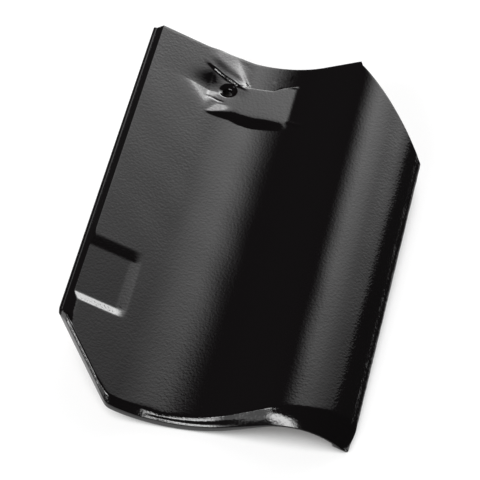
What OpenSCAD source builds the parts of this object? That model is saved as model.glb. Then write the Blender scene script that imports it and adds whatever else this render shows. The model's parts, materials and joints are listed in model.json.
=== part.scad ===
// Clay pantile of S section with two opposite corners cut away.
// One fired piece: wide trough on the left, roll on the right, thinned left margin,
// rounded nose, hook recess, nail hole in a dished seat, flat stop across the trough's head
// and a batten nib below.
// It is drawn as it lies on level ground: trough, right edge and nib touch the floor.
// Lengths are in millimetres, angles in degrees.

/* [Overall size] */
// Length from nose to head
tile_len = 385; // [340:1:430]
// Width across the tile, left margin to roll edge
tile_w = 260; // [245:1:285]
// Thickness of the clay wall
wall_t = 12; // [9:0.5:15]

/* [S section] */
// Radius of the trough's upper surface
trough_r = 109; // [95:1:120]
// Radius of the roll's upper surface
roll_r = 59; // [50:1:66]
// Length of the straight flank between trough and roll
flank_len = 31; // [10:1:45]
// Slope of the straight flank
flank_slope = 32; // [26:1:36]
// Slope of the straight part left of the trough
margin_slope = 18.5; // [12:0.5:22]
// Slope of the roll where it ends at the right edge
edge_slope = 50; // [42:1:58]

/* [Left margin] */
// Width of the thinned band along the left edge
margin_w = 9; // [5:0.5:14]
// Width of the flat ledge at the band's outer side
ledge_w = 2; // [1:0.5:4]
// Thickness left at the outer edge
ledge_t = 4.5; // [3:0.5:7]

/* [Right edge] */
// Height of the face at the right edge
edge_h = 8; // [5:0.5:10]
// Set-back of that face's foot
edge_set = 3; // [1:0.5:5]
// Extra thickness of the rib under the right edge
rib_t = 2.5; // [1:0.5:5]
// Distance of the rib from the right edge, along the section
rib_w = 12; // [8:1:16]

/* [Nose and head edges] */
// Length of the nose's roll-down at the left edge
lip_left = 3; // [2:0.5:6]
// Length of the nose's roll-down at the right edge
lip_right = 24; // [12:0.5:26]
// Depth of that roll-down
lip_drop = 6; // [3:0.5:7]
// Bevel of the head's upper edge
head_bevel = 1.5; // [0.5:0.25:3]

/* [Cut corners] */
// Lower left cut, across the tile
nose_cut_x = 58; // [40:1:75]
// Lower left cut, along the tile
nose_cut_y = 67; // [45:1:90]
// Upper right cut, across the tile
head_cut_x = 70; // [45:1:85]
// Upper right cut, along the tile
head_cut_y = 84; // [55:1:105]
// Short square side left between the upper right cut and the head
head_stub = 5; // [2:0.5:10]

/* [Hook recess in the left part] */
// Distance from the nose to the recess
hook_from_nose = 75; // [70:1:100]
// Length of the recess along the tile
hook_len = 74; // [50:1:90]
// Width of the recess across the tile, from the margin band
hook_w = 46; // [30:1:50]
// Depth of the recess
hook_depth = 2.75; // [1:0.25:4]
// Length of the ramp at each end of the recess
hook_ramp = 12; // [4:0.5:14]
// Width of the slope at the recess's right side
hook_side = 9; // [4:0.5:12]

/* [Nail hole] */
// Diameter of the hole
nail_d = 8; // [5:0.5:10]
// Diameter of the countersink at the seat
sink_d = 15; // [12:0.5:20]
// Depth of the countersink below the seat
sink_depth = 2.5; // [1:0.5:4]
// Distance from the left edge to the hole
nail_x = 78.5; // [72:0.5:86]
// Distance from the head to the hole
nail_from_head = 40; // [34:1:46]
// Radius of the level floor of the dish the hole sits in
dish_r = 16; // [15.5:0.5:19]
// Depth of that floor below the stop's left end
dish_depth = 0.5; // [0.25:0.25:1.5]
// Slope of the dish's wall
dish_slope = 45; // [35:1:60]
// Distance from the hole to the dish's middle, across the tile
dish_shift_x = 7.5; // [4:0.5:9]
// Distance from the hole to the dish's middle, along the tile
dish_shift_y = 2; // [0:0.5:4]

/* [Flat stop across the trough's head] */
// Distance from the head to the foot of the stop's face
stop_from_head = 71; // [62:1:80]
// Length of the stop along the tile, foot to foot
stop_len = 51; // [40:1:58]
// Length of the sloping face that looks towards the nose
stop_face = 8; // [3:0.5:10]
// Length of the sloping face that looks towards the head
stop_back = 9; // [3:0.5:12]
// Reach of the flat to the left of the trough's middle
stop_left = 27.5; // [20:0.5:30]
// Reach of the flat to the right of the trough's middle
stop_right = 37.5; // [30:0.5:45]

/* [Batten nib] */
// Width of the nib at its tip
nib_w = 46; // [30:1:60]
// Length of the nib at its tip, along the tile
nib_len = 18; // [12:1:24]
// Draft of each side, from tip to root
nib_flare = 5; // [2:0.5:7]
// Draft of the side that looks towards the head, from tip to root
nib_back = 4; // [1:0.5:6]
// Drop of the nib below the trough's underside
nib_drop = 14; // [10:0.5:20]
// Distance from the head to the nib's hanging face
nib_from_head = 33; // [28:1:35]

/* [Hidden] */
// Facets to a full circle
$fn = 240;
// Overrun of a cutter past the surface it cuts
cut_over = 6;
// Points along the roll-down of the nose
lip_steps = 5;
// Turn of the section between two neighbouring points, in degrees
arc_step = 2.5;
// Growth of the roll-down's length across the tile, as a power
lip_growth = 3;
// Bulge of the roll-down: 1 is a flat bevel, 2 a quarter of an ellipse
lip_bulge = 1.3;
// Overrun of the stop's flat into the wall at both ends
stop_over = 4;

// Middle of the roll and of the trough
roll_x = tile_w - roll_r * sin(edge_slope);
trough_x = roll_x - (roll_r + trough_r) * sin(flank_slope) - flank_len * cos(flank_slope);
// Height of the roll's centre above the trough's lowest line
roll_z = trough_r * (1 - cos(flank_slope)) + flank_len * sin(flank_slope) - roll_r * cos(flank_slope);
// Right end of the straight part left of the trough, on the upper surface
left_x = trough_x - trough_r * sin(margin_slope);
left_z = trough_r * (1 - cos(margin_slope));
// Height of the upper surface where the margin band starts
band_z = left_z + (left_x - margin_w) * tan(margin_slope);
// Underside at the left edge
under_z = left_z + left_x * tan(margin_slope) - wall_t / cos(margin_slope);
// Angles where the rib under the right edge is full and where it starts
rib_full = edge_slope - rib_w / roll_r * 180 / PI;
rib_start = rib_full - rib_t / roll_r * 180 / PI;
// Top and foot of the face at the right edge
edge_top = [tile_w, roll_z + roll_r * cos(edge_slope)];
edge_foot = edge_top - [edge_set, edge_h];

// Steps of the section on the trough and on the roll
trough_steps = ceil((margin_slope + flank_slope) / arc_step);
roll_steps = ceil((flank_slope + rib_start) / arc_step);
rib_steps = ceil((edge_slope - rib_full) / arc_step);

// Points on a circle in x and z, by the angle from straight down or straight up
function below(r, a) = [trough_x + r * sin(a), trough_r - r * cos(a)];
function above(r, a) = [roll_x + r * sin(a), roll_z + r * cos(a)];
function under_at(x) = under_z - x * tan(margin_slope);

// Ends of the stop's flat on the trough, by angle and as points
stop_a0 = -asin(stop_left / trough_r);
stop_a1 = asin(stop_right / trough_r);
stop_p0 = below(trough_r, stop_a0);
stop_p1 = below(trough_r, stop_a1);
// Overrun along the flat, as a vector in x and z
stop_run = (stop_p1 - stop_p0) * stop_over / norm(stop_p1 - stop_p0);
// Greatest height of the flat above the trough
stop_h = trough_r * (1 - cos((stop_a1 - stop_a0) / 2));
// Radius of the stop's root, half way into the wall
stop_root_r = trough_r + wall_t / 2;
// Foot of the stop's face, from the nose
stop_y = tile_len - stop_from_head;
// Level of the dish's floor
seat_z = stop_p0[1] - dish_depth;

// The section from left to right: each entry pairs a point above with the point below it
section = concat(
    [[[0, under_z + ledge_t], [0, under_z]],
     [[ledge_w, under_z + ledge_t], [ledge_w, under_at(ledge_w)]],
     [[margin_w, band_z], [margin_w, under_at(margin_w)]]],
    [for (i = [0 : trough_steps])
        let (a = -margin_slope + (margin_slope + flank_slope) * i / trough_steps)
            [below(trough_r, a), below(trough_r + wall_t, a)]],
    [for (i = [0 : roll_steps])
        let (a = -flank_slope + (flank_slope + rib_start) * i / roll_steps)
            [above(roll_r, a), above(roll_r - wall_t, a)]],
    [for (i = [0 : rib_steps])
        let (t = i / rib_steps, a = rib_full + (edge_slope - rib_full) * t)
            [above(roll_r, a), (1 - t) * above(roll_r - wall_t - rib_t, rib_full) + t * edge_foot]]);

// A point of the wall at a depth below its upper surface and a distance from the nose
function in_wall(pair, depth, y) =
    let (q = pair[0] + (pair[1] - pair[0]) * depth / norm(pair[1] - pair[0]))
        [q[0], y, q[1]];

// Length of the roll-down at a distance from the left edge
function lip_at(x) = lip_left + (lip_right - lip_left) * pow(x / tile_w, lip_growth);

// One slice of the wall: round the nose, along the top, over the head and back below
function slice(pair) = concat(
    [for (i = [0 : lip_steps])
        let (a = 90 * i / lip_steps, drop = min(lip_drop, norm(pair[1] - pair[0]) / 2))
            in_wall(pair, drop * (1 - pow(sin(a), 2 / lip_bulge)),
                lip_at(pair[0][0]) * (1 - pow(cos(a), 2 / lip_bulge)))],
    [in_wall(pair, 0, tile_len - head_bevel),
     in_wall(pair, head_bevel, tile_len),
     [pair[1][0], tile_len, pair[1][1]],
     [pair[1][0], 0, pair[1][1]]]);

slices = [for (pair = section) slice(pair)];
per_slice = len(slices[0]);
last_slice = len(slices) - 1;

// Rest on level ground: the line under trough and right edge turns level first
rest_px = edge_foot[0];
rest_pz = edge_foot[1];
rest_dx = rest_px - trough_x;
rest_dz = rest_pz - trough_r;
rest_roll = atan2(rest_dz, rest_dx)
    + asin((trough_r + wall_t) / norm([rest_dx, rest_dz]));
// Height of that line once it is level
rest_z = rest_pz * cos(rest_roll) - rest_px * sin(rest_roll);
// The nib's lower right edge then lifts the head
nib_y = tile_len - nib_from_head;
nib_low = (-wall_t - nib_drop) * cos(rest_roll) - (trough_x + nib_w / 2) * sin(rest_roll) - rest_z;
rest_pitch = atan2(-nib_low, nib_y);
// Middle of the footprint
mid_x = (tile_w * cos(rest_roll) + (under_z + edge_top[1]) * sin(rest_roll)) / 2;
mid_y = tile_len / 2 * cos(rest_pitch);

// The S wall, swept from the left edge to the right
module s_wall() {
    polyhedron(
        points = [for (c = slices) for (q = c) q],
        faces = concat(
            [[for (j = [0 : per_slice - 1]) per_slice - 1 - j]],
            [for (k = [0 : last_slice - 1])
                for (j = [0 : per_slice - 1])
                    let (n = (j + 1) % per_slice, c = k * per_slice)
                        [c + j, c + n, c + per_slice + n, c + per_slice + j]],
            [[for (j = [0 : per_slice - 1]) last_slice * per_slice + j]]),
        convexity = 6);
}

// A length along the tile with its section given in x and z
module along(y0, run) {
    translate([0, y0 + run, 0])
        rotate([90, 0, 0])
            linear_extrude(height = run)
                children();
}

// The two cut corners
module corner_cuts() {
    translate([0, 0, -tile_w / 2])
        linear_extrude(height = tile_w) {
            polygon([
                [-cut_over, -cut_over],
                [nose_cut_x * (1 + cut_over / nose_cut_y), -cut_over],
                [-cut_over, nose_cut_y * (1 + cut_over / nose_cut_x)]]);
            polygon([
                [tile_w - head_cut_x, tile_len + cut_over],
                [tile_w - head_cut_x, tile_len - head_stub],
                [tile_w, tile_len - head_stub - head_cut_y],
                [tile_w + cut_over, tile_len - head_stub - head_cut_y],
                [tile_w + cut_over, tile_len + cut_over]]);
        }
}

// A width across the tile with its side view given in y and z
module across(x0, run) {
    translate([x0, 0, 0])
        rotate([90, 0, 90])
            linear_extrude(height = run)
                children();
}

// The shallow recess: a ramp at each end, a slope at its right side, open at the margin
module hook_cut() {
    translate([margin_w, hook_from_nose, band_z])
        rotate([0, margin_slope, 0])
            intersection() {
                across(-margin_w, margin_w + hook_w + 2 * hook_side)
                    polygon([
                        [-hook_ramp, hook_depth],
                        [hook_ramp, -hook_depth],
                        [hook_len - hook_ramp, -hook_depth],
                        [hook_len + hook_ramp, hook_depth]]);
                along(-2 * hook_ramp, hook_len + 4 * hook_ramp)
                    polygon([
                        [-margin_w - cut_over, -2 * hook_depth],
                        [hook_w - 2 * hook_side, -2 * hook_depth],
                        [hook_w + 2 * hook_side, 2 * hook_depth],
                        [-margin_w - cut_over, 2 * hook_depth]]);
            }
}

// Nail hole, countersink and the dish with its level floor
module nail_cut() {
    translate([nail_x, tile_len - nail_from_head, seat_z]) {
        translate([0, 0, -3 * wall_t])
            cylinder(h = 4 * wall_t, d = nail_d);
        translate([0, 0, -sink_depth])
            cylinder(h = 2 * sink_depth, d1 = nail_d, d2 = 2 * sink_d - nail_d);
        translate([-dish_shift_x, dish_shift_y, 0])
            cylinder(h = 2 * wall_t, r1 = dish_r, r2 = dish_r + 2 * wall_t / tan(dish_slope));
    }
}

// The flat stop: it bridges the trough and slopes down towards nose and head
module flat_stop() {
    intersection() {
        along(stop_y - 2 * stop_face, stop_len + 2 * stop_face + 2 * stop_back)
            polygon([
                stop_p0 - stop_run,
                stop_p1 + stop_run,
                below(stop_root_r, stop_a1),
                below(stop_root_r, (stop_a0 + stop_a1) / 2),
                below(stop_root_r, stop_a0)]);
        across(0, tile_w)
            polygon([
                [stop_y - stop_face, -stop_h],
                [stop_y + 2 * stop_face, 2 * stop_h],
                [stop_y + stop_len - 2 * stop_back, 2 * stop_h],
                [stop_y + stop_len + stop_back, -stop_h]]);
    }
}

// The block that hooks over the batten: upright hanging face, drafted sides and back
module batten_nib() {
    tall = nib_drop + wall_t / 2;
    translate([trough_x, nib_y, -wall_t - nib_drop])
        intersection() {
            along(-cut_over, nib_len + nib_back + 2 * cut_over)
                polygon([
                    [nib_flare - nib_w / 2, -tall],
                    [nib_w / 2 - nib_flare, -tall],
                    [nib_w / 2 + 2 * nib_flare, 2 * tall],
                    [-nib_w / 2 - 2 * nib_flare, 2 * tall]]);
            across(-nib_w, 2 * nib_w)
                polygon([[0, 0], [nib_len, 0], [nib_len + nib_back, tall], [0, tall]]);
        }
}

// Turns and sets the finished tile down on level ground, over the origin
module at_rest() {
    translate([-mid_x, -mid_y, 0])
        rotate([rest_pitch, 0, 0])
            translate([0, 0, -rest_z])
                rotate([0, rest_roll, 0])
                    children();
}

module roof_tile() {
    color([0.03, 0.03, 0.035])
        at_rest()
            difference() {
                union() {
                    s_wall();
                    flat_stop();
                    batten_nib();
                }
                corner_cuts();
                hook_cut();
                nail_cut();
            }
}

roof_tile();
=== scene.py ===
"""Looks of a black glazed clay pantile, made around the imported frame.

The tile is one swept mesh: a closed section runs from the nose to the head, and the relief of the
upper surface and the nib below are worked into it. It is made in the tile's own frame, in
millimetres (x from the left edge, y from the nose, z from the trough's lowest line), and then
set down where the construction lies.
"""

import json
import math

import bmesh
import bpy
import numpy as np
from mathutils import Matrix, Vector


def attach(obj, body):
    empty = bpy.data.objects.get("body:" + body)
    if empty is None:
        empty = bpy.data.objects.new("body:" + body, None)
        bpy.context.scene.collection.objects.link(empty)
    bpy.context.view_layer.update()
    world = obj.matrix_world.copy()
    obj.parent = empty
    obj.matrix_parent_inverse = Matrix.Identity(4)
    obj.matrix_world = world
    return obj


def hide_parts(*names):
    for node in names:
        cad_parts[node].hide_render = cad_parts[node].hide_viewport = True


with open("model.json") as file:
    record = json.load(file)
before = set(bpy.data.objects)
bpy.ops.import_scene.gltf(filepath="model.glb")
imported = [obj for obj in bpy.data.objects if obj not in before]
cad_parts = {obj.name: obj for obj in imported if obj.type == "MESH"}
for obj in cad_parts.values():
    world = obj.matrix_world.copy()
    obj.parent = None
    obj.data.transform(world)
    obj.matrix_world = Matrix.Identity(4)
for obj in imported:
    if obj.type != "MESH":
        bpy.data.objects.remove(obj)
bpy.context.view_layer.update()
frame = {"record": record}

MM = 0.001
BLACK = (0, 0, 0)
WHITE = (1, 1, 1)
SEED = 11
rng = np.random.default_rng(SEED)

# Overall size and wall, as in the construction
TILE_LEN = 385.0
TILE_W = 260.0
WALL_T = 12.0

# S section: radii, straight flank and slopes
TROUGH_R = 109.0
ROLL_R = 59.0
FLANK_LEN = 31.0
FLANK_SLOPE = math.radians(32.0)
MARGIN_SLOPE = math.radians(18.5)
EDGE_SLOPE = math.radians(50.0)

# Left margin: ledge that falls outwards, groove at the bevel's foot, half width of the bevel's top edge
MARGIN_W = 9.0
LEDGE_W = 3.2
LEDGE_T = 4.5
LEDGE_FALL = 0.21
GROOVE_D = 0.25
GROOVE_W = 0.5
LEFT_ROUND = 1.0
BEVEL_SOFT = 0.3
BAND_HALF = 0.7
# How far the bevel widens into the tile near the lower left cut, by distance from the nose
BEVEL_WIDER = [(50, 8.0), (54, 6.1), (65, 4.2), (80, 3.5), (92, 3.0), (120, 2.0), (146, 1.0),
               (152, 0.0)]

# Right edge: where the roll goes straight, height and set-back of its face, rib below, uneven rim
EDGE_EASE = math.radians(38.0)
EDGE_RUN = 10.7
EDGE_H = 8.0
EDGE_SET = 3.0
RIB_T = 2.5
RIB_W = 12.0
RIGHT_ROUND = 1.5
RIM_WAVE = 0.4
RIM_LENGTHS = [5.3, 8.1, 13.7, 31.0]
RIM_COLUMNS = 3

# Nose: a bevel that grows across the tile, with rounded corners; its sizes by distance from the left
LIP_LEN = [(45, 3.5), (60, 5.5), (85, 6.0), (100, 5.2), (137, 6.0), (160, 7.6), (190, 11.4), (204, 13.4),
           (222, 16.3), (260, 24.0)]
LIP_DROP = [(46, 2.3), (60, 5.6), (88, 5.6), (100, 4.8), (137, 5.7), (160, 7.2), (195, 9.6), (260, 9.6)]
LIP_KEEP = 2.4
LIP_FLARE = [(88, 0.0), (98, 0.2), (140, 0.2), (170, 0.0)]
LIP_BULGE = [(150, 0.0), (200, 0.7)]
LIP_TOP_ROUND = 1.6
LIP_LOW_ROUND = 0.9
LIP_ROUND_SHARE = 0.3
UNDER_ROUND = 1.4
HEAD_ROUND = 0.4

# Cut corners
NOSE_CUT_X = 58.0
NOSE_CUT_Y = 67.0
HEAD_CUT_X = 70.0
HEAD_CUT_Y = 84.0
HEAD_STUB = 5.0
CORNER_SOFT = 3.0
STUB_SOFT = 1.2

# Hook recess in the left part
HOOK_Y0 = 79.5
HOOK_Y1 = 146.5
HOOK_X1 = 52.5
HOOK_DEPTH = 2.75
HOOK_TILT_Y = -0.022
HOOK_RAMP_LOW = 8.0
HOOK_RAMP_HIGH = 10.0
HOOK_SIDE = 9.0
HOOK_SOFT = 0.05

# Flat stop across the trough's head: level, slope across, foot and run of its front, raised left corner
STOP_X0 = 72.0
STOP_Z0 = 3.5
STOP_TILT = 0.0485
STOP_FOOT = [(70, 314.6), (86, 314.8), (95, 312.6), (106, 311.5), (117, 312.0), (130, 312.0), (150, 311.0)]
STOP_RUN = [(70, 1.5), (84, 6.5), (90, 7.3), (99, 7.0), (120, 7.4), (136, 8.6)]
STOP_BACK_Y = [(72, 345), (84, 345), (95, 353), (117, 354.5), (124, 359), (138, 363)]
STOP_BACK_RUN = [(80, 40.0), (96, 3.0)]
STOP_SOFT = 0.2
CORNER_Y = 328.0
CORNER_RISE = 0.2
CORNER_X = (78.0, 87.0)

# Dish of the nail hole, let into the slope left of the stop
DISH_Y0 = 341.0
DISH_RISE = 0.25
DISH_Y1 = 342.0
DISH_BOWL = 0.011
DISH_X = 62.0
DISH_FULL_X = 78.0
DISH_SIDE = 0.6
DISH_SOFT = 1.5

# Ridge above the dish that turns water aside: line at its foot, height by distance from that line
RIDGE_FROM = (60.5, 363.6)
RIDGE_TO = (85.0, 353.0)
RIDGE_FORM = [(-0.9, 0.0), (1.1, 2.3), (2.8, 2.15), (5.8, 2.2), (9.3, 2.7), (12.0, 2.7), (24.0, 1.7)]
RIDGE_X = [50.0, 65.0, 80.0, 98.0]

# Marks left by the press near the stop: from, to, height and half width
PRESS_MARKS = [
    ((60.9, 333.8), (77.0, 331.0), -0.4, 0.9),
    ((136.5, 322.5), (149.4, 317.5), 0.7, 1.5),
    ((123.3, 361.5), (138.0, 362.8), 0.5, 1.3),
    ((89.5, 353.5), (117.0, 355.5), -0.3, 1.2),
    ((115.5, 368.0), (130.4, 375.0), -0.3, 1.3),
]
# Where along a mark it begins and is full, as shares of its length; its other end is the same
MARK_BEGINS = -0.1
MARK_FULL = 0.15

# Nail hole
NAIL_X = 78.5
NAIL_Y = 345.0
NAIL_R = 4.0
SINK_R = 7.5
SINK_DEPTH = 2.6
HOLE_RIM = 1.3
# Rings down the hole: wider than the countersink and below its rim, wider than the bore and below the
# rim's middle level, wider than the bore and above the underside
RIM_RINGS = [(0.5, 0.1), (0.0, 0.45)]
SINK_RINGS = [(SINK_R - NAIL_R - 0.4, 1.0), (0.9, SINK_DEPTH - 0.4), (0.3, SINK_DEPTH),
              (0.0, SINK_DEPTH + 0.7)]
LOW_RINGS = [(0.0, 1.2), (0.4, 0.3)]

# Batten nib under the head
NIB_W = 46.0
NIB_LEN = 18.0
NIB_DROP = 14.0
NIB_Y = 352.0
NIB_FLARE = 5.0
NIB_BACK = 4.0
NIB_FRONT = 0.9

# Unevenness of the pressed surface
WAVE_COUNT = 9
WAVE_H = 0.02
WAVE_LENGTHS = (18, 60)

# Unglazed clay: distance from the edges at which it starts below, and a chip at the lower right tip
BARE_FROM = 7.0
CHIP_AT = (257.5, 0.8, 14.0)
CHIP_R = 2.2

# Surface: black glaze with an orange-peel grain, and the clay's colours; each noise by scale and detail
GLAZE_COLOR = (0.0036, 0.0028, 0.0031, 1)
GLAZE_ROUGH = 0.08
PEEL_NOISE = (480, 2)
PEEL_H = 0.11
CLAY_DARK = (0.24, 0.105, 0.05)
CLAY_PALE = (0.42, 0.22, 0.11)
CLAY_ROUGH = 0.85
CLAY_NOISE = (60, 5)
CLAY_SPREAD = (0.3, 0.7)
GRAIN_NOISE = (700, 6)
BORDER_NOISE = (90, 4)
BARE_UNEVEN = 5.0
BARE_FULL = 0.6

# Floor: colour, glow, half size, and the painted shade in its glow under and round the tile: how far the
# tile's cover is looked for, and at which occlusion levels the glow is fully gone and whole
FLOOR_COLOR = (0.3, 0.3, 0.3, 1)
FLOOR_GLOW = 0.78
FLOOR_SIZE = 6.0
SHADE_REACH = 0.12
SHADE_FULL_AO = 0.17
SHADE_NONE_AO = 0.55
WORLD_LEVEL = 0.05

# Camera of the photo, fitted to the tile's outline in the tile's own frame
CAMERA_AT = (286.72, -1081.82, 1732.38)
CAMERA_FORWARD = (-0.07487, 0.59048, -0.80357)
CAMERA_UP = (-0.22547, 0.77494, 0.59045)
FOCAL_PX = 2546.11
IMAGE_PX = 480
SENSOR_W = 36

# Mesh density
STRIP_STEP = 1.3
TROUGH_STEP = 1.6
FLANK_STEP = 3.0
ROLL_STEP = 2.4
LEDGE_POINTS = 3
GROOVE_POINTS = 9
SLOPE_POINTS = 5
BAND_POINTS = 6
CORNER_STEPS = 5
BEVEL_STEPS = 11
HEAD_STEPS = 5
EDGE_STEPS = 4
HOLE_ROWS = 18
HOLE_COLUMNS = 5
NOSE_ROWS = 22
# Stretches between the slanting ends, along the tile, with the distance between rows
MIDDLE_ROWS = [(73, 91, 1.0), (91, 133, 4.2), (133, 152, 1.0), (152, 290, 6.0)]
HEAD_ROWS = [(290, 308, 4.5), (308, 327, 0.9), (327, 366, 0.45), (366, 383, 1.5)]

# Worked out from the sizes above
ROLL_X = TILE_W - ROLL_R * math.sin(EDGE_SLOPE)
TROUGH_X = ROLL_X - (ROLL_R + TROUGH_R) * math.sin(FLANK_SLOPE) - FLANK_LEN * math.cos(FLANK_SLOPE)
ROLL_Z = (TROUGH_R * (1 - math.cos(FLANK_SLOPE)) + FLANK_LEN * math.sin(FLANK_SLOPE)
          - ROLL_R * math.cos(FLANK_SLOPE))
LEFT_X = TROUGH_X - TROUGH_R * math.sin(MARGIN_SLOPE)
LEFT_Z = TROUGH_R * (1 - math.cos(MARGIN_SLOPE))
UNDER_LEFT_X = TROUGH_X - (TROUGH_R + WALL_T) * math.sin(MARGIN_SLOPE)
UNDER_Z = LEFT_Z + LEFT_X * math.tan(MARGIN_SLOPE) - WALL_T / math.cos(MARGIN_SLOPE)
LEDGE_Z = UNDER_Z + LEDGE_T
BAND_Z = LEFT_Z + (LEFT_X - MARGIN_W) * math.tan(MARGIN_SLOPE)
RIB_FULL = EDGE_SLOPE - RIB_W / ROLL_R
RIB_START = RIB_FULL - RIB_T / ROLL_R
EASE_DOWN = np.array([math.cos(EDGE_EASE), -math.sin(EDGE_EASE)])
EASE_FROM = np.array([ROLL_X + ROLL_R * math.sin(EDGE_EASE), ROLL_Z + ROLL_R * math.cos(EDGE_EASE)])
EDGE_TOP = EASE_FROM + EDGE_RUN * EASE_DOWN
EDGE_FOOT = np.array([TILE_W - EDGE_SET, ROLL_Z + ROLL_R * math.cos(EDGE_SLOPE) - EDGE_H])
LEDGE_OUT_Z = LEDGE_Z - LEDGE_FALL * LEDGE_W
NOSE_STEPS = 2 * CORNER_STEPS + BEVEL_STEPS
MIDDLE_FROM, MIDDLE_TO = MIDDLE_ROWS[0][0], MIDDLE_ROWS[-1][1]


def smooth_min(a, b, soft):
    """The lower of two heights, with the corner between them rounded."""
    return 0.5 * (a + b - np.sqrt((a - b) ** 2 + soft ** 2))


def smooth_max(a, b, soft):
    """The higher of two heights, with the corner between them rounded."""
    return -smooth_min(-a, -b, soft)


def smooth_step(low, high, value):
    """Goes from 0 at low to 1 at high, level at both ends."""
    t = np.clip((value - low) / (high - low), 0, 1)
    return t * t * (3 - 2 * t)


def margin_line(x):
    """Height of the straight part left of the trough."""
    return LEFT_Z + (LEFT_X - x) * math.tan(MARGIN_SLOPE)


def below(radius, angle):
    """A point on the trough, by the angle from straight down."""
    return np.stack([TROUGH_X + radius * np.sin(angle), TROUGH_R - radius * np.cos(angle)], 1)


def above(radius, angle):
    """A point on the roll, by the angle from straight up."""
    return np.stack([ROLL_X + radius * np.sin(angle), ROLL_Z + radius * np.cos(angle)], 1)


def spread(start, end, step):
    """Even places from start to end, about a step apart."""
    return np.linspace(start, end, math.ceil(abs(end - start) / step) + 1)


def by_points(points, value):
    """Value read off a line through a few points."""
    places, sizes = zip(*points)
    return np.interp(value, places, sizes)


def left_section():
    """Ledge, bevel and the straight part left of the trough."""
    groove_from, groove_to = LEDGE_W - 2 * GROOVE_W, LEDGE_W + 2 * GROOVE_W
    band_from, band_to = MARGIN_W - BAND_HALF, MARGIN_W + BAND_HALF
    x = np.concatenate([
        np.linspace(LEFT_ROUND, groove_from, LEDGE_POINTS)[:-1],
        np.linspace(groove_from, groove_to, GROOVE_POINTS)[:-1],
        np.linspace(groove_to, band_from, SLOPE_POINTS)[:-1],
        np.linspace(band_from, band_to, BAND_POINTS)[:-1],
        spread(band_to, LEFT_X, STRIP_STEP)[:-1]])
    rise = LEDGE_Z + (x - LEDGE_W) * (BAND_Z - LEDGE_Z) / (MARGIN_W - LEDGE_W)
    step = smooth_max(LEDGE_Z + (x - LEDGE_W) * LEDGE_FALL, rise, BEVEL_SOFT)
    groove = GROOVE_D * np.exp(-((x - LEDGE_W) / GROOVE_W) ** 2)
    top = np.stack([x, smooth_min(margin_line(x), step, BEVEL_SOFT) - groove], 1)
    inner = (x - MARGIN_W) / (LEFT_X - MARGIN_W)
    under_x = np.where(x < MARGIN_W, x, MARGIN_W + inner * (UNDER_LEFT_X - MARGIN_W))
    return top, np.stack([under_x, UNDER_Z - under_x * math.tan(MARGIN_SLOPE)], 1)


def section_pairs():
    """The section from left to right: points above and the points below them, in x and z."""
    left_top, left_under = left_section()
    a = spread(-MARGIN_SLOPE, FLANK_SLOPE, TROUGH_STEP / TROUGH_R)
    trough_top, trough_under = below(TROUGH_R, a), below(TROUGH_R + WALL_T, a)

    a = spread(-FLANK_SLOPE, EDGE_SLOPE, ROLL_STEP / ROLL_R)
    straight = (a - EDGE_EASE) / (EDGE_SLOPE - EDGE_EASE)
    edge = EASE_FROM + straight[:, None] * (EDGE_RUN - RIGHT_ROUND) * EASE_DOWN
    roll_top = np.where(straight[:, None] > 0, edge, above(ROLL_R, a))
    rib = RIB_T * smooth_step(RIB_START, RIB_FULL, a)
    roll_under = above(ROLL_R - WALL_T - rib, a)
    rib_foot = above(ROLL_R - WALL_T - RIB_T, np.array([RIB_FULL]))[0]
    t = np.clip((a - RIB_FULL) / (EDGE_SLOPE - RIB_FULL), 0, 1)[:, None]
    foot_line = rib_foot + t * (EDGE_FOOT + (rib_foot - EDGE_FOOT) * RIGHT_ROUND / RIB_W - rib_foot)
    roll_under = np.where(t > 0, foot_line, roll_under)

    t = spread(0, 1, FLANK_STEP / FLANK_LEN)[1:-1, None]
    flank_top = trough_top[-1] + t * (roll_top[0] - trough_top[-1])
    flank_under = trough_under[-1] + t * (roll_under[0] - trough_under[-1])
    top = np.concatenate([left_top, trough_top, flank_top, roll_top])
    under = np.concatenate([left_under, trough_under, flank_under, roll_under])
    return top, under


def curve(start, corner, end, t):
    """A point on the rounded corner between two directions."""
    return (1 - t) ** 2 * start + 2 * t * (1 - t) * corner + t ** 2 * end


def bend(start, corner, end):
    """Points of a rounded corner, without its two ends."""
    return curve(start, corner, end, np.linspace(0, 1, EDGE_STEPS + 1)[1:-1, None])


def edge_points(start, first, second, end, round_size):
    """Points along an edge face from start to end, over its two rounded corners."""
    along = (second - first) / np.linalg.norm(second - first)
    a, b = first + along * round_size, second - along * round_size
    return np.concatenate([bend(start, first, a), [a], [(a + b) / 2], [b], bend(b, second, end)])


def nose_y(x):
    """Where the tile starts at the nose: straight, and slanting along the lower left cut."""
    cut = NOSE_CUT_Y * (1 - x / NOSE_CUT_X)
    return smooth_max(cut, 0.0, CORNER_SOFT) - smooth_max(-NOSE_CUT_Y, 0.0, CORNER_SOFT)


def head_y(x):
    """Where the tile ends at the head: straight, a short step, and the upper right cut."""
    corner = TILE_W - HEAD_CUT_X
    cut = TILE_LEN - HEAD_STUB - np.maximum(x - corner, 0) * HEAD_CUT_Y / HEAD_CUT_X
    return np.where(x > corner, cut, TILE_LEN) - HEAD_STUB * np.where(
        x > corner, 0, smooth_step(corner - 2 * STUB_SOFT, corner, x))


def corner_bevel(x, y, z):
    """Widens the left bevel where it runs out into the lower left cut."""
    border = MARGIN_W + by_points(BEVEL_WIDER, y)
    slope = (margin_line(border) - LEDGE_Z) / (border - LEDGE_W)
    return np.where(x > LEDGE_W, smooth_min(z, LEDGE_Z + slope * (x - LEDGE_W), BEVEL_SOFT), z)


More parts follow.
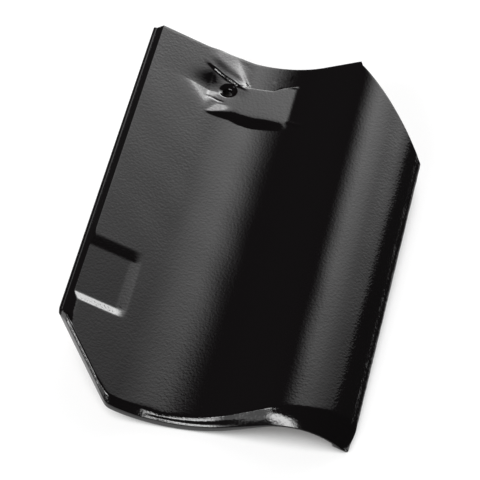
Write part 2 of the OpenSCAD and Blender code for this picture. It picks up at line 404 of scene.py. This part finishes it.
def hook_recess(x, y, z):
    """Lowers the surface into the shallow recess with a ramp at each end and a soft right side."""
    depth = HOOK_DEPTH + HOOK_TILT_Y * (y - (HOOK_Y0 + HOOK_Y1) / 2)
    ends = np.minimum((y - HOOK_Y0) / HOOK_RAMP_LOW, (HOOK_Y1 - y) / HOOK_RAMP_HIGH)
    side = (HOOK_X1 - x) / HOOK_SIDE
    for share in (ends, side):
        depth = depth * np.maximum(smooth_min(share, 1.0, HOOK_SOFT), 0)
    surface = np.where(x < LEFT_X, margin_line(x), z)
    return np.where(depth > 0, smooth_min(z, surface - depth, HOOK_SOFT), z)


def stop_level(x):
    """Level of the flat stop."""
    return STOP_Z0 + STOP_TILT * (x - STOP_X0)


def flat_stop(x, y, z):
    """Raises the stop that bridges the trough: sloping front, raised left corner, gentle back."""
    corner = CORNER_RISE * np.maximum(CORNER_Y - y, 0) * smooth_step(CORNER_X[1], CORNER_X[0], x)
    top = stop_level(x) + corner
    front = (y - by_points(STOP_FOOT, x)) / by_points(STOP_RUN, x)
    back = 1 - (y - by_points(STOP_BACK_Y, x)) / by_points(STOP_BACK_RUN, x)
    share = np.clip(smooth_min(np.minimum(front, back), 1.0, STOP_SOFT), 0, 1)
    return z + share * smooth_max(top - z, 0.0, STOP_SOFT)


def ridge(x, y, z):
    """Adds the ridge above the dish: steep towards the hole, gentle towards the head."""
    (ax, ay), (bx, by) = RIDGE_FROM, RIDGE_TO
    d = ((bx - ax) * (y - ay) - (by - ay) * (x - ax)) / math.hypot(bx - ax, by - ay)
    fade = smooth_step(RIDGE_X[0], RIDGE_X[1], x) * smooth_step(RIDGE_X[3], RIDGE_X[2], x)
    return z + fade * by_points(RIDGE_FORM, d)


def dish(x, y, z):
    """Lets the nail hole's dish into the slope: gentle towards the nose, hollow towards the head."""
    level = np.where(x < TROUGH_X, stop_level(x), np.maximum(stop_level(x), z))
    floor = (level + DISH_RISE * np.maximum(DISH_Y0 - y, 0) + DISH_SIDE * np.maximum(DISH_X - x, 0)
             + DISH_BOWL * np.maximum(y - DISH_Y1, 0) ** 2)
    sunk = smooth_min(z, floor, DISH_SOFT)
    return np.where(x < TROUGH_X, z + (sunk - z) * smooth_step(TROUGH_X, DISH_FULL_X, x), z)


def press_marks(x, y, z):
    """Thin lines left by the press."""
    for (ax, ay), (bx, by), height, half in PRESS_MARKS:
        length = math.hypot(bx - ax, by - ay)
        along = ((x - ax) * (bx - ax) + (y - ay) * (by - ay)) / length ** 2
        d = ((bx - ax) * (y - ay) - (by - ay) * (x - ax)) / length
        fade = smooth_step(MARK_BEGINS, MARK_FULL, along) * smooth_step(MARK_BEGINS, MARK_FULL, 1 - along)
        z = z + height * fade * np.exp(-(d / half) ** 2)
    return z


wave_turn = rng.uniform(0, 2 * math.pi, WAVE_COUNT)
wave_phase = rng.uniform(0, 2 * math.pi, WAVE_COUNT)
wave_length = rng.uniform(*WAVE_LENGTHS, WAVE_COUNT)


def waves(x, y):
    """Slight unevenness of the pressed clay."""
    height = np.zeros_like(x)
    for turn_by, phase, length in zip(wave_turn, wave_phase, wave_length):
        along = x * math.cos(turn_by) + y * math.sin(turn_by)
        height += WAVE_H * length / wave_length.max() * np.sin(2 * math.pi * along / length + phase)
    return height


def top_relief(x, y, z):
    """The pressed forms of the upper surface."""
    for form in (corner_bevel, hook_recess, flat_stop, dish, ridge, press_marks):
        z = form(x, y, z)
    return z + waves(x, y)


def nib(x, y, z):
    """The block under the head that hooks over the batten."""
    side = (NIB_W / 2 + NIB_FLARE - np.abs(x - TROUGH_X)) / NIB_FLARE
    front = (y - NIB_Y) / NIB_FRONT + 1
    back = (NIB_Y + NIB_LEN + NIB_BACK - y) / NIB_BACK
    share = np.clip(np.minimum(np.minimum(side, front), back), 0, 1)
    return z + share * (-WALL_T - NIB_DROP - z)


def rows_of(spans):
    """Row places of some stretches, each with its own distance between rows."""
    return np.concatenate([spread(a, b, step)[:-1] for a, b, step in spans])


def nose_profile(lip, drop, flare, bulge):
    """Distance along the tile and depth of the rows that turn the nose: low corner, bevel, top corner."""
    size = np.hypot(lip, drop)
    low = np.minimum(LIP_LOW_ROUND, LIP_ROUND_SHARE * size)
    top = np.minimum(LIP_TOP_ROUND, LIP_ROUND_SHARE * size)
    zero = np.zeros_like(lip)
    along, down = lip / size, -drop / size
    for t in np.linspace(0, 1, CORNER_STEPS):
        yield curve(zero, zero, along * low, t), curve(drop + low, drop, drop + down * low, t)
    for t in np.linspace(0, 1, BEVEL_STEPS + 2)[1:-1]:
        out = flare * drop * math.sin(2 * math.pi * t) / (2 * math.pi) - bulge * math.sin(math.pi * t)
        yield (along * low + t * (lip - along * (low + top)),
               drop + down * low + t * (-down * top - drop - down * low) + out)
    for t in np.linspace(0, 1, CORNER_STEPS + 1)[:-1]:
        yield curve(lip - along * top, lip, lip + top, t), curve(-down * top, zero, zero, t)


def sweep(points, mates, lip, drop, flare, bulge, head_round):
    """Carries section points from nose to head, drawn in at both ends, as rows of x, y, z."""
    inward = mates - points
    inward = inward / np.linalg.norm(inward, axis=1, keepdims=True)
    rows = []
    for along, depth in nose_profile(lip, drop, flare, bulge):
        q = points + inward * depth[:, None]
        rows.append(np.stack([q[:, 0], nose_y(q[:, 0]) + along, q[:, 1]], 1))
    x, z = points.T
    low = nose_y(x) + lip + np.minimum(LIP_TOP_ROUND, LIP_ROUND_SHARE * np.hypot(lip, drop))
    high = head_y(x) - head_round
    plain_high = TILE_LEN - HEAD_ROUND
    places = [low + share * (MIDDLE_FROM - low) for share in np.linspace(0, 1, NOSE_ROWS, endpoint=False)]
    places += [np.full_like(x, y) for y in rows_of(MIDDLE_ROWS)]
    places += [MIDDLE_TO + (y - MIDDLE_TO) / (plain_high - MIDDLE_TO) * (high - MIDDLE_TO)
               for y in list(rows_of(HEAD_ROWS)) + [plain_high]]
    rows += [np.stack([x, y, z], 1) for y in places]
    for a in np.linspace(0, math.pi / 2, HEAD_STEPS + 1)[1:]:
        q = points + inward * (head_round * (1 - math.cos(a)))[:, None]
        rows.append(np.stack([q[:, 0], head_y(q[:, 0]) - head_round * (1 - math.sin(a)), q[:, 1]], 1))
    return np.array(rows)


def round_hole(grid, row, column, radius):
    """Draws the grid's cells round the nail hole onto a circle, easing off over the next cells."""
    j, i = np.mgrid[-2 * HOLE_ROWS:2 * HOLE_ROWS + 1, -2 * HOLE_COLUMNS:2 * HOLE_COLUMNS + 1]
    across, along = i / HOLE_COLUMNS, j / HOLE_ROWS
    ring = np.maximum(np.abs(along), np.abs(across))
    angle = np.arctan2(along, across)
    place = np.stack([NAIL_X + radius * ring * np.cos(angle), NAIL_Y + radius * ring * np.sin(angle)], -1)
    weight = smooth_step(2.0, 1.0, ring)[..., None]
    cells = grid[j + row, i + column, :2]
    grid[j + row, i + column, :2] = cells + weight * (place - cells)


def edge_loop(top, under):
    """The closed section: above, right edge, below, left edge; with the point that each draws in to."""
    middle = (top + under) / 2
    right = edge_points(top[-1], EDGE_TOP, EDGE_FOOT, under[-1], RIGHT_ROUND)
    left = edge_points(under[0], np.array([0, UNDER_Z]), np.array([0, LEDGE_OUT_Z]), top[0], LEFT_ROUND)
    loop = np.concatenate([top, right, under[::-1], left])
    mates = np.concatenate([middle, np.tile(middle[-1], (len(right), 1)), middle[::-1],
                            np.tile(middle[0], (len(left), 1))])
    return loop, mates, len(right), len(left)


def around(above_size, below_size, right, left):
    """A size round the loop: its values above, those below, and an even change over the two edges."""
    to_below = np.linspace(above_size[-1], below_size[-1], right + 2)[1:-1]
    to_above = np.linspace(below_size[0], above_size[0], left + 2)[1:-1]
    return np.concatenate([above_size, to_below, below_size[::-1], to_above])


def rim_noise(y):
    """Unevenness along the glazed rim, from 0 to 1."""
    total = sum(np.sin(2 * math.pi * y / length + phase) for length, phase in zip(RIM_LENGTHS, wave_phase))
    return 0.5 + 0.5 * total / len(RIM_LENGTHS)


def bare_inset(grid, under_at):
    """How far a point lies within the unglazed underside, in millimetres; negative on the glaze."""
    inset = np.full(grid.shape[:2], -BARE_FROM)
    x, y = grid[:, under_at, 0], grid[:, under_at, 1]
    ends = np.minimum(y - nose_y(x), head_y(x) - y)
    inset[:, under_at] = np.minimum(np.minimum(x, TILE_W - x), ends) - BARE_FROM
    tip = np.linalg.norm(grid - np.array(CHIP_AT), axis=2)
    return np.maximum(inset, BARE_FROM * (CHIP_R - tip) / CHIP_R)


def end_sizes(top, under, right, left):
    """Sizes of the turned ends round the loop: the nose's length, drop, flare and bulge, the head's round."""
    count = len(top)
    x = top[:, 0]
    wall = np.linalg.norm(under - top, axis=1)
    plain, none = np.full(count, UNDER_ROUND), np.zeros(count)
    pairs = [(by_points(LIP_LEN, x), plain),
             (np.minimum(by_points(LIP_DROP, x), wall - LIP_KEEP), plain),
             (by_points(LIP_FLARE, x), none),
             (by_points(LIP_BULGE, x), none),
             (np.full(count, HEAD_ROUND), plain)]
    return [around(above_size, below_size, right, left) for above_size, below_size in pairs]


def open_hole(grid, top, under_at):
    """Draws the cells round the nail hole onto circles, above and below; gives its middle in the grid."""
    column = int(np.argmin(np.abs(top[:, 0] - NAIL_X)))
    row = int(np.argmin(np.abs(grid[:, column, 1] - NAIL_Y)))
    round_hole(grid, row, column, SINK_R + HOLE_RIM)
    below_grid = grid[:, under_at]
    round_hole(below_grid, row, column, NAIL_R + HOLE_RIM)
    grid[:, under_at] = below_grid
    return row, column


def work_relief(grid, top, under, under_at):
    """Works the relief above and the nib below into the grid between its turned ends, and the uneven rim."""
    count = len(top)
    head = len(grid) - HEAD_STEPS
    inner = slice(NOSE_STEPS, head)
    x, y = grid[inner, :count, 0], grid[inner, :count, 1]
    plain_z = np.interp(x, *top.T)
    grid[inner, :count, 2] = top_relief(x, y, plain_z)
    grid[head:, :count, 2] += (grid[inner, :count, 2] - plain_z)[-1]
    x, y = grid[inner, under_at, 0], grid[inner, under_at, 1]
    grid[inner, under_at, 2] = nib(x, y, np.interp(x, *under.T))
    rim = slice(count - RIM_COLUMNS, count + 2 * EDGE_STEPS)
    grid[:, rim, 0] -= RIM_WAVE * rim_noise(grid[:, rim, 1])


def skin(rows, size, count, right, under_at, row, column):
    """Faces of the grid with the hole left open, and of the two ends."""
    j, i = np.mgrid[0:rows - 1, 0:size]
    n = (i + 1) % size
    quads = np.stack([j * size + i, j * size + n, (j + 1) * size + n, (j + 1) * size + i], -1)
    near = np.abs(j + 0.5 - row) < HOLE_ROWS
    hole = near & (np.abs(i + 0.5 - column) < HOLE_COLUMNS)
    hole |= near & (np.abs(i + 0.5 - under_at[column]) < HOLE_COLUMNS)
    faces = quads[~hole].tolist()
    for start in (0, (rows - 1) * size):
        for k in range(count - 1):
            faces.append([start + k, start + k + 1, start + under_at[k + 1], start + under_at[k]])
        faces.append([start + k for k in range(count - 1, count + right + 1)])
        faces.append([start + k for k in range(under_at[0], size)] + [start])
    return faces


def make_tile():
    """The whole tile as one closed mesh, in its own frame, with how bare each point is."""
    top, under = section_pairs()
    count = len(top)
    loop, mates, right, left = edge_loop(top, under)
    grid = sweep(loop, mates, *end_sizes(top, under, right, left))
    rows, size = grid.shape[:2]
    under_at = np.arange(count + right, 2 * count + right)[::-1]
    row, column = open_hole(grid, top, under_at)
    work_relief(grid, top, under, under_at)
    bare = bare_inset(grid, under_at).reshape(-1)
    faces = skin(rows, size, count, right, under_at, row, column)
    verts, faces = nail_bore(grid.reshape(-1, 3), faces, row, column, under_at, size)
    return verts, faces, np.concatenate([bare, np.full(len(verts) - len(bare), -BARE_FROM)])


def nail_bore(verts, faces, row, column, under_at, size):
    """Countersink and bore between the open rings above and below."""
    h, w = HOLE_ROWS, HOLE_COLUMNS
    ring = ([(-h, k) for k in range(-w, w)] + [(k, w) for k in range(-h, h)]
            + [(h, k) for k in range(w, -w, -1)] + [(k, -w) for k in range(h, -h, -1)])
    top_ids = [(row + dj) * size + column + di for dj, di in ring]
    low_ids = [(row + dj) * size + int(under_at[column + di]) for dj, di in ring]
    angle = np.arctan2(verts[top_ids, 1] - NAIL_Y, verts[top_ids, 0] - NAIL_X)
    rim_z, low_z = verts[top_ids, 2], verts[low_ids, 2]
    level = np.full(len(ring), rim_z.mean())
    profile = [(SINK_R + wider, rim_z - down) for wider, down in RIM_RINGS]
    profile += [(NAIL_R + wider, level - down) for wider, down in SINK_RINGS]
    profile += [(NAIL_R + wider, low_z + up) for wider, up in LOW_RINGS]
    rings = [top_ids]
    for radius, z in profile:
        circle = np.stack([NAIL_X + radius * np.cos(angle), NAIL_Y + radius * np.sin(angle), z], 1)
        rings.append(list(range(len(verts), len(verts) + len(ring))))
        verts = np.concatenate([verts, circle])
    rings.append(low_ids)
    for a, b in zip(rings[:-1], rings[1:]):
        for k in range(len(ring)):
            n = (k + 1) % len(ring)
            faces.append([a[k], a[n], b[n], b[k]])
    return verts, faces


def tile_to_frame():
    """The turn and shift from the tile's own frame to where the construction lies, from its mounts."""
    mounts = {m["name"]: m for m in frame["record"]["mounts"]}
    up = Vector(mounts["nail_hole"]["axis"]).normalized()
    along = -Vector(mounts["batten_nib"]["axis"]).normalized()
    across = along.cross(up)
    turn = Matrix((across, along, up)).transposed()
    face_middle = Vector((TROUGH_X, NIB_Y, -WALL_T - NIB_DROP / 2))
    shift = Vector(mounts["batten_nib"]["pos_m"]) - turn @ face_middle * MM
    return turn, shift


def add_mesh(name, verts, faces, bare=None):
    """A smooth mesh object with its faces turned outwards; bare is kept as a value at each point."""
    mesh = bpy.data.meshes.new(name)
    mesh.from_pydata(verts.tolist(), [], faces)
    if bare is not None:
        mesh.attributes.new("bare", "FLOAT", "POINT").data.foreach_set("value", bare)
    bm = bmesh.new()
    bm.from_mesh(mesh)
    bmesh.ops.recalc_face_normals(bm, faces=bm.faces)
    bm.to_mesh(mesh)
    bm.free()
    mesh.shade_smooth()
    obj = bpy.data.objects.new(name, mesh)
    bpy.context.scene.collection.objects.link(obj)
    return obj


turn, shift = tile_to_frame()


def placed(points):
    """Points of the tile's own frame in metres, where the construction lies."""
    return np.asarray(points) * MM @ np.array(turn).T + np.array(shift)


def add_noise(tree, scale, detail):
    """Noise in the object's own coordinates."""
    coords = tree.nodes.new("ShaderNodeTexCoord")
    noise = tree.nodes.new("ShaderNodeTexNoise")
    noise.inputs["Scale"].default_value = scale
    noise.inputs["Detail"].default_value = detail
    tree.links.new(coords.outputs["Object"], noise.inputs["Vector"])
    return noise.outputs["Fac"]


def add_ramp(tree, value, stops):
    """A colour ramp over a value."""
    stops = list(stops)
    ramp = tree.nodes.new("ShaderNodeValToRGB")
    while len(ramp.color_ramp.elements) < len(stops):
        ramp.color_ramp.elements.new(0.5)
    for element, (place, color) in zip(ramp.color_ramp.elements, stops):
        element.position = place
        element.color = (*color, 1)
    tree.links.new(value, ramp.inputs[0])
    return ramp.outputs[0]


def add_math(tree, operation, *values):
    """A sum, product or the like of values, each a socket or a number."""
    node = tree.nodes.new("ShaderNodeMath")
    node.operation = operation
    for socket, value in zip(node.inputs, values):
        if isinstance(value, (int, float)):
            socket.default_value = value
        else:
            tree.links.new(value, socket)
    return node.outputs[0]


def add_mix(tree, kind, factor, a, b):
    """A mix of two values or colours, each a socket or a constant."""
    node = tree.nodes.new("ShaderNodeMix")
    node.data_type = kind
    first = 2 if kind == "FLOAT" else 6
    tree.links.new(factor, node.inputs[0])
    for socket, value in zip(node.inputs[first:first + 2], (a, b)):
        if isinstance(value, (int, float, tuple)):
            socket.default_value = value
        else:
            tree.links.new(value, socket)
    return node.outputs[0 if kind == "FLOAT" else 2]


def glaze_material():
    """Black glaze with an orange-peel surface; bare fired clay below, with an uneven border."""
    mat = bpy.data.materials.new("black_glaze")
    mat.use_nodes = True
    tree = mat.node_tree
    shader = tree.nodes["Principled BSDF"]
    inset = tree.nodes.new("ShaderNodeAttribute")
    inset.attribute_name = "bare"
    uneven = add_math(tree, "MULTIPLY_ADD", add_noise(tree, *BORDER_NOISE), BARE_UNEVEN, -BARE_UNEVEN / 2)
    edge = add_math(tree, "ADD", inset.outputs["Fac"], uneven)
    bare = add_ramp(tree, edge, [(0.0, BLACK), (BARE_FULL, WHITE)])
    clay = add_ramp(tree, add_noise(tree, *CLAY_NOISE), zip(CLAY_SPREAD, (CLAY_DARK, CLAY_PALE)))
    tree.links.new(add_mix(tree, "RGBA", bare, GLAZE_COLOR, clay), shader.inputs["Base Color"])
    tree.links.new(add_mix(tree, "FLOAT", bare, GLAZE_ROUGH, CLAY_ROUGH), shader.inputs["Roughness"])
    height = add_mix(tree, "FLOAT", bare, add_noise(tree, *PEEL_NOISE), add_noise(tree, *GRAIN_NOISE))
    bump = tree.nodes.new("ShaderNodeBump")
    bump.inputs["Distance"].default_value = PEEL_H * MM
    tree.links.new(height, bump.inputs["Height"])
    tree.links.new(bump.outputs["Normal"], shader.inputs["Normal"])
    return mat


def make_floor():
    """Floor that looks white and keeps the tile's shadow; its glow fades where the tile covers it, a painted
    shade under and round the tile.
    """
    r = FLOOR_SIZE
    floor = add_mesh("floor", np.array([(-r, -r, 0), (r, -r, 0), (r, r, 0), (-r, r, 0)]), [[0, 1, 2, 3]])
    mat = bpy.data.materials.new("white_floor")
    mat.use_nodes = True
    tree = mat.node_tree
    nodes, links = tree.nodes, tree.links
    nodes.clear()
    out = nodes.new("ShaderNodeOutputMaterial")
    diffuse = nodes.new("ShaderNodeBsdfDiffuse")
    diffuse.inputs["Color"].default_value = FLOOR_COLOR
    glow = nodes.new("ShaderNodeEmission")
    path = nodes.new("ShaderNodeLightPath")
    seen = add_math(tree, "MAXIMUM", path.outputs["Is Camera Ray"], path.outputs["Is Glossy Ray"])
    seen = add_math(tree, "MAXIMUM", seen, path.outputs["Is Transmission Ray"])
    # Painted shade: ambient occlusion takes the floor's glow away under the tile and close round its edges
    occlusion = nodes.new("ShaderNodeAmbientOcclusion")
    occlusion.inputs["Distance"].default_value = SHADE_REACH
    free = add_ramp(tree, occlusion.outputs["AO"], [(SHADE_FULL_AO, BLACK), (SHADE_NONE_AO, WHITE)])
    strength = add_math(tree, "MULTIPLY", seen, FLOOR_GLOW)
    links.new(add_math(tree, "MULTIPLY", strength, free), glow.inputs["Strength"])
    both = nodes.new("ShaderNodeAddShader")
    links.new(diffuse.outputs[0], both.inputs[0])
    links.new(glow.outputs[0], both.inputs[1])
    links.new(both.outputs[0], out.inputs["Surface"])
    floor.data.materials.append(mat)


def direction(azimuth, elevation):
    """Unit vector, azimuth from +Y towards +X, in degrees."""
    az, el = math.radians(azimuth), math.radians(elevation)
    return Vector((math.sin(az) * math.cos(el), math.cos(az) * math.cos(el), math.sin(el)))


def add_panel(name, azimuth, elevation, distance, width, height, radiance, across=None, up=None):
    """A softbox that faces the tile; across and up are ramps of brightness over its width and height."""
    lamp = bpy.data.lights.new(name, "AREA")
    lamp.shape = "RECTANGLE"
    lamp.size, lamp.size_y = width, height
    lamp.energy = radiance * math.pi * width * height
    obj = bpy.data.objects.new(name, lamp)
    bpy.context.scene.collection.objects.link(obj)
    toward = direction(azimuth, elevation)
    obj.location = toward * distance
    obj.rotation_euler = toward.to_track_quat("Z", "Y").to_euler()
    if across:
        grade_panel(lamp, across, up)


def grade_panel(lamp, across, up):
    """Grades a lamp's brightness over its width and height."""
    lamp.use_nodes = True
    tree = lamp.node_tree
    spot = tree.nodes.new("ShaderNodeNewGeometry")
    split = tree.nodes.new("ShaderNodeSeparateXYZ")
    tree.links.new(spot.outputs["Parametric"], split.inputs[0])
    # The lamp's own first coordinate runs from right to left as seen from the tile
    mirrored = [(1 - place, level) for place, level in reversed(across)]
    levels = [add_ramp(tree, split.outputs[k], [(place, (level, level, level)) for place, level in stops])
              for k, stops in enumerate((mirrored, up))]
    tree.links.new(add_math(tree, "MULTIPLY", *levels), tree.nodes["Emission"].inputs["Strength"])


def make_lights():
    """A large graded softbox behind the head with a hot lower middle, and three smaller ones in front."""
    add_panel("back_panel", azimuth=17.5, elevation=38, distance=3.0, width=4.2, height=3.45, radiance=18.0,
              across=[(0.0, 0.0), (0.11, 0.17), (0.175, 0.43), (0.243, 0.69), (0.31, 0.9), (0.38, 1.0),
                      (0.517, 0.73), (0.654, 0.4), (0.723, 0.3), (0.86, 0.12), (0.925, 0.08), (0.945, 0.0)],
              up=[(0.0, 0.54), (0.3, 0.59), (0.4, 0.55), (0.5, 0.35), (0.6, 0.2), (0.7, 0.16), (0.8, 0.117),
                  (0.9, 0.074), (1.0, 0.03)])
    add_panel("hot_panel", azimuth=24, elevation=22, distance=2.9, width=1.0, height=0.6, radiance=3.0)
    add_panel("left_panel", azimuth=-125, elevation=46, distance=3.0, width=0.7, height=0.6, radiance=11.0)
    add_panel("dim_panel", azimuth=-122, elevation=30, distance=3.1, width=2.0, height=1.2, radiance=1.4)
    add_panel("front_panel", azimuth=-162, elevation=36, distance=3.0, width=2.3, height=1.15, radiance=15.0,
              across=[(0.0, 0.0), (0.3, 1.0), (0.7, 1.0), (1.0, 0.0)],
              up=[(0.0, 0.0), (0.35, 1.0), (0.65, 1.0), (1.0, 0.0)])
    world = bpy.data.worlds.new("studio")
    bpy.context.scene.world = world
    world.use_nodes = True
    background = world.node_tree.nodes["Background"]
    background.inputs["Color"].default_value = (WORLD_LEVEL, WORLD_LEVEL, WORLD_LEVEL, 1)


def make_camera():
    """The photo's camera, set where the construction lies."""
    forward = Vector(CAMERA_FORWARD).normalized()
    right = forward.cross(Vector(CAMERA_UP)).normalized()
    up = right.cross(forward)
    cam = bpy.data.cameras.new("camera")
    cam.sensor_width = SENSOR_W
    cam.lens = SENSOR_W * FOCAL_PX / IMAGE_PX
    obj = bpy.data.objects.new("camera", cam)
    bpy.context.scene.collection.objects.link(obj)
    axes = turn @ Matrix((right, up, -forward)).transposed()
    obj.matrix_world = Matrix.Translation(turn @ Vector(CAMERA_AT) * MM + shift) @ axes.to_4x4()
    bpy.context.scene.camera = obj


verts, faces, bare = make_tile()
tile = add_mesh("glazed_tile", placed(verts), faces, bare)
tile.data.materials.append(glaze_material())
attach(tile, "root")
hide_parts("roof_tile")
make_floor()
make_lights()
make_camera()
bpy.context.scene.view_settings.view_transform = "Standard"
